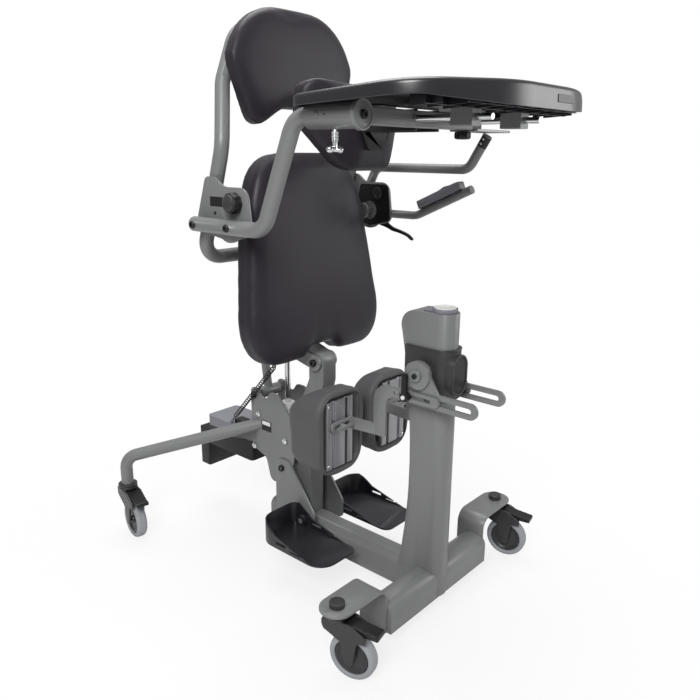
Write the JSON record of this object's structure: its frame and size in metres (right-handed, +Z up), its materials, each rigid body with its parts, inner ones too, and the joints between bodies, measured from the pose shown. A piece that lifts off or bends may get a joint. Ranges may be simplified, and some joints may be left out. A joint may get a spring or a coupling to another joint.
{
  "type": "standing frame",
  "caption": "Powered sit-to-stand frame with a lifting seat, back rest, swing-over tray with chest pad, knee cups, foot plates and braked casters on a wheeled base.",
  "frame": {"origin": "on the floor under the middle of the object's box", "axes": "+Z up, -Y the way the user faces, +X to the user's left"},
  "size_m": [0.676, 1.0343, 1.3082],
  "materials": {
    "frame_paint": "grey powder coat, half gloss",
    "dark_casting": "dark grey moulded plastic",
    "black_plastic": "black moulded plastic, fine grain",
    "tray_shell": "black moulded tray, soft gloss",
    "pad_cover": "charcoal coated upholstery, soft sheen",
    "knee_foam": "mid grey coated foam, fine grain",
    "box_plastic": "lilac grey moulded box",
    "caster_tyre": "grey rubber tread on a dark hub",
    "rail_aluminium": "satin extruded aluminium",
    "bright_steel": "bright plated steel",
    "white_plastic": "white moulded plastic",
    "cord_rubber": "black coiled lead"
  },
  "bodies": {
    "base": {"base_beam": "frame_paint", "front_straps": "frame_paint", "mast_column": "frame_paint", "mast_cap": "dark_casting", "rear_column": "frame_paint", "hub_plates": "frame_paint", "rear_legs": "frame_paint", "control_box": "box_plastic", "battery_pack": "black_plastic", "foot_posts": "frame_paint", "actuator_tube": "white_plastic", "curly_cord": "cord_rubber"},
    "swivel_front_right": {"caster_fork_front_right": "dark_casting"},
    "wheel_front_right": {"caster_wheel_front_right": "caster_tyre"},
    "pedal_front_right": {"brake_pedal_front_right": "black_plastic"},
    "swivel_front_left": {"caster_fork_front_left": "dark_casting"},
    "wheel_front_left": {"caster_wheel_front_left": "caster_tyre"},
    "pedal_front_left": {"brake_pedal_front_left": "black_plastic"},
    "swivel_rear_right": {"caster_fork_rear_right": "dark_casting"},
    "wheel_rear_right": {"caster_wheel_rear_right": "caster_tyre"},
    "pedal_rear_right": {"brake_pedal_rear_right": "black_plastic"},
    "swivel_rear_left": {"caster_fork_rear_left": "dark_casting"},
    "wheel_rear_left": {"caster_wheel_rear_left": "caster_tyre"},
    "pedal_rear_left": {"brake_pedal_rear_left": "black_plastic"},
    "knee_collar": {"knee_collar": "dark_casting"},
    "knee_arm_right": {"knee_arm_right": "frame_paint"},
    "knee_hook_right": {"knee_hook_right": "frame_paint"},
    "knee_lever_right": {"knee_lever_right": "black_plastic"},
    "knee_cup_right": {"knee_rail_right": "rail_aluminium", "knee_pad_right": "knee_foam"},
    "foot_right": {"foot_plate_right": "black_plastic"},
    "knee_arm_left": {"knee_arm_left": "frame_paint"},
    "knee_hook_left": {"knee_hook_left": "frame_paint"},
    "knee_lever_left": {"knee_lever_left": "black_plastic"},
    "knee_cup_left": {"knee_rail_left": "rail_aluminium", "knee_pad_left": "knee_foam"},
    "foot_left": {"foot_plate_left": "black_plastic"},
    "seat": {"seat_frame": "frame_paint", "seat_pad": "pad_cover"},
    "back": {"back_loop": "frame_paint", "arm_brackets": "frame_paint", "tray_arm": "frame_paint", "rest_arm": "frame_paint", "side_handle": "frame_paint", "pendant": "black_plastic"},
    "link": {"parallel_link": "frame_paint"},
    "actuator_rod": {"actuator_rod": "bright_steel"},
    "back_rest": {"back_frame": "frame_paint", "back_pad": "pad_cover"},
    "knob_right": {"arm_knob_right": "black_plastic"},
    "knob_left": {"arm_knob_left": "black_plastic"},
    "rocker": {"pendant_rocker": "black_plastic"},
    "lever": {"release_lever": "black_plastic"},
    "tray_swing": {"tray_sleeve": "frame_paint", "tray_carrier": "frame_paint", "chest_pad": "pad_cover", "chest_bracket": "black_plastic"},
    "tray": {"tray": "tray_shell"},
    "pull_pin": {"pull_pin": "bright_steel"},
    "tray_knob": {"tray_knob": "black_plastic"}
  },
  "joints": [
    {"name": "swivel_front_right", "type": "hinge", "parent": "base", "child": "swivel_front_right", "pos_m": [-0.302, -0.297, 0.14], "axis": [0, 0, 1], "continuous": true},
    {"name": "roll_front_right", "type": "hinge", "parent": "swivel_front_right", "child": "wheel_front_right", "pos_m": [-0.29345, -0.33403, 0.05], "axis": [0.9744, 0.225, 0], "continuous": true},
    {"name": "brake_front_right", "type": "hinge", "parent": "swivel_front_right", "child": "pedal_front_right", "pos_m": [-0.2939, -0.33208, 0.122], "axis": [0.9744, 0.225, 0], "range_deg": [0, 10]},
    {"name": "swivel_front_left", "type": "hinge", "parent": "base", "child": "swivel_front_left", "pos_m": [0.302, -0.297, 0.14], "axis": [0, 0, 1], "continuous": true},
    {"name": "roll_front_left", "type": "hinge", "parent": "swivel_front_left", "child": "wheel_front_left", "pos_m": [0.30925, -0.3343, 0.05], "axis": [0.9816, 0.1908, 0], "continuous": true},
    {"name": "brake_front_left", "type": "hinge", "parent": "swivel_front_left", "child": "pedal_front_left", "pos_m": [0.30887, -0.33234, 0.122], "axis": [0.9816, 0.1908, 0], "range_deg": [0, 10]},
    {"name": "swivel_rear_right", "type": "hinge", "parent": "base", "child": "swivel_rear_right", "pos_m": [-0.277, 0.49, 0.14], "axis": [0, 0, 1], "continuous": true},
    {"name": "roll_rear_right", "type": "hinge", "parent": "swivel_rear_right", "child": "wheel_rear_right", "pos_m": [-0.2836, 0.45258, 0.05], "axis": [0.9848, -0.1736, 0], "continuous": true},
    {"name": "brake_rear_right", "type": "hinge", "parent": "swivel_rear_right", "child": "pedal_rear_right", "pos_m": [-0.28325, 0.45455, 0.122], "axis": [0.9848, -0.1736, 0], "range_deg": [0, 10]},
    {"name": "swivel_rear_left", "type": "hinge", "parent": "base", "child": "swivel_rear_left", "pos_m": [0.277, 0.49, 0.14], "axis": [0, 0, 1], "continuous": true},
    {"name": "roll_rear_left", "type": "hinge", "parent": "swivel_rear_left", "child": "wheel_rear_left", "pos_m": [0.2836, 0.45258, 0.05], "axis": [0.9848, 0.1736, 0], "continuous": true},
    {"name": "brake_rear_left", "type": "hinge", "parent": "swivel_rear_left", "child": "pedal_rear_left", "pos_m": [0.28325, 0.45455, 0.122], "axis": [0.9848, 0.1736, 0], "range_deg": [0, 10]},
    {"name": "knee_height", "type": "slide", "parent": "base", "child": "knee_collar", "axis": [0, 0, 1], "range_m": [-0.06, 0.05]},
    {"name": "knee_tilt_right", "type": "hinge", "parent": "knee_collar", "child": "knee_arm_right", "pos_m": [-0.057, -0.297, 0.564], "axis": [1, 0, 0], "range_deg": [-10, 5]},
    {"name": "knee_depth_right", "type": "slide", "parent": "knee_arm_right", "child": "knee_hook_right", "axis": [0, -1, 0], "range_m": [-0.02, 0.02]},
    {"name": "knee_clamp_right", "type": "hinge", "parent": "knee_arm_right", "child": "knee_lever_right", "pos_m": [-0.062, -0.274, 0.514], "axis": [-1, 0, 0], "range_deg": [0, 90]},
    {"name": "knee_pad_height_right", "type": "slide", "parent": "knee_hook_right", "child": "knee_cup_right", "axis": [0, 0, 1], "range_m": [-0.03, 0.03]},
    {"name": "foot_tilt_right", "type": "hinge", "parent": "base", "child": "foot_right", "pos_m": [-0.063, 0.04, 0.108], "axis": [-1, 0, 0], "range_deg": [-5, 12]},
    {"name": "knee_tilt_left", "type": "hinge", "parent": "knee_collar", "child": "knee_arm_left", "pos_m": [0.057, -0.297, 0.564], "axis": [1, 0, 0], "range_deg": [-10, 5]},
    {"name": "knee_depth_left", "type": "slide", "parent": "knee_arm_left", "child": "knee_hook_left", "axis": [0, -1, 0], "range_m": [-0.02, 0.02]},
    {"name": "knee_clamp_left", "type": "hinge", "parent": "knee_arm_left", "child": "knee_lever_left", "pos_m": [0.062, -0.274, 0.514], "axis": [-1, 0, 0], "range_deg": [0, 90]},
    {"name": "knee_pad_height_left", "type": "slide", "parent": "knee_hook_left", "child": "knee_cup_left", "axis": [0, 0, 1], "range_m": [-0.03, 0.03]},
    {"name": "foot_tilt_left", "type": "hinge", "parent": "base", "child": "foot_left", "pos_m": [0.063, 0.04, 0.108], "axis": [-1, 0, 0], "range_deg": [-5, 12]},
    {"name": "seat_lift", "type": "hinge", "parent": "base", "child": "seat", "pos_m": [0, 0.028, 0.517], "axis": [-1, 0, 0], "range_deg": [0, 78], "deforming": ["curly_cord"]},
    {"name": "back_level", "type": "hinge", "parent": "seat", "child": "back", "pos_m": [0, 0.076, 0.861], "axis": [-1, 0, 0], "range_deg": [-78, 0]},
    {"name": "link_swing", "type": "hinge", "parent": "base", "child": "link", "pos_m": [0, 0.224, 0.395], "axis": [-1, 0, 0], "range_deg": [0, 78]},
    {"name": "actuator_stroke", "type": "slide", "parent": "base", "child": "actuator_rod", "axis": [0, 0, 1], "range_m": [-0.19, 0]},
    {"name": "back_height", "type": "slide", "parent": "back", "child": "back_rest", "axis": [0, -0.3173, 0.9483], "range_m": [0, 0.035]},
    {"name": "knob_right_turn", "type": "hinge", "parent": "back", "child": "knob_right", "pos_m": [-0.245, 0.05, 0.9], "axis": [-1, 0, 0], "continuous": true},
    {"name": "knob_left_turn", "type": "hinge", "parent": "back", "child": "knob_left", "pos_m": [0.245, 0.05, 0.9], "axis": [1, 0, 0], "continuous": true},
    {"name": "rocker_press", "type": "hinge", "parent": "back", "child": "rocker", "pos_m": [0.243, -0.14665, 0.9206], "axis": [1, 0, 0], "range_deg": [-6, 6], "stiffness_Nm_per_rad": 0.05},
    {"name": "lever_squeeze", "type": "hinge", "parent": "back", "child": "lever", "pos_m": [0.2375, 0.042, 0.832], "axis": [-1, 0, 0], "range_deg": [0, 8], "stiffness_Nm_per_rad": 0.4, "springref_deg": -11.46},
    {"name": "tray_flip", "type": "hinge", "parent": "back", "child": "tray_swing", "pos_m": [-0.249, -0.24, 1.063], "axis": [0, -1, 0], "range_deg": [0, 100]},
    {"name": "tray_depth", "type": "slide", "parent": "tray_swing", "child": "tray", "axis": [0, -1, 0], "range_m": [-0.03, 0.03]},
    {"name": "pull_pin_draw", "type": "slide", "parent": "tray_swing", "child": "pull_pin", "axis": [0, 0, -1], "range_m": [0, 0.01], "stiffness_N_per_m": 400, "springref_m": -0.006},
    {"name": "tray_knob_turn", "type": "hinge", "parent": "tray_swing", "child": "tray_knob", "pos_m": [0.104, -0.272, 1.04], "axis": [0, 0, 1], "continuous": true}
  ],
  "couplings": [
    {"joint": "back_level", "follows": "seat_lift", "ratio": -1},
    {"joint": "link_swing", "follows": "seat_lift", "ratio": 1},
    {"joint": "actuator_stroke", "follows": "seat_lift", "m_per_rad": -0.1367}
  ]
}
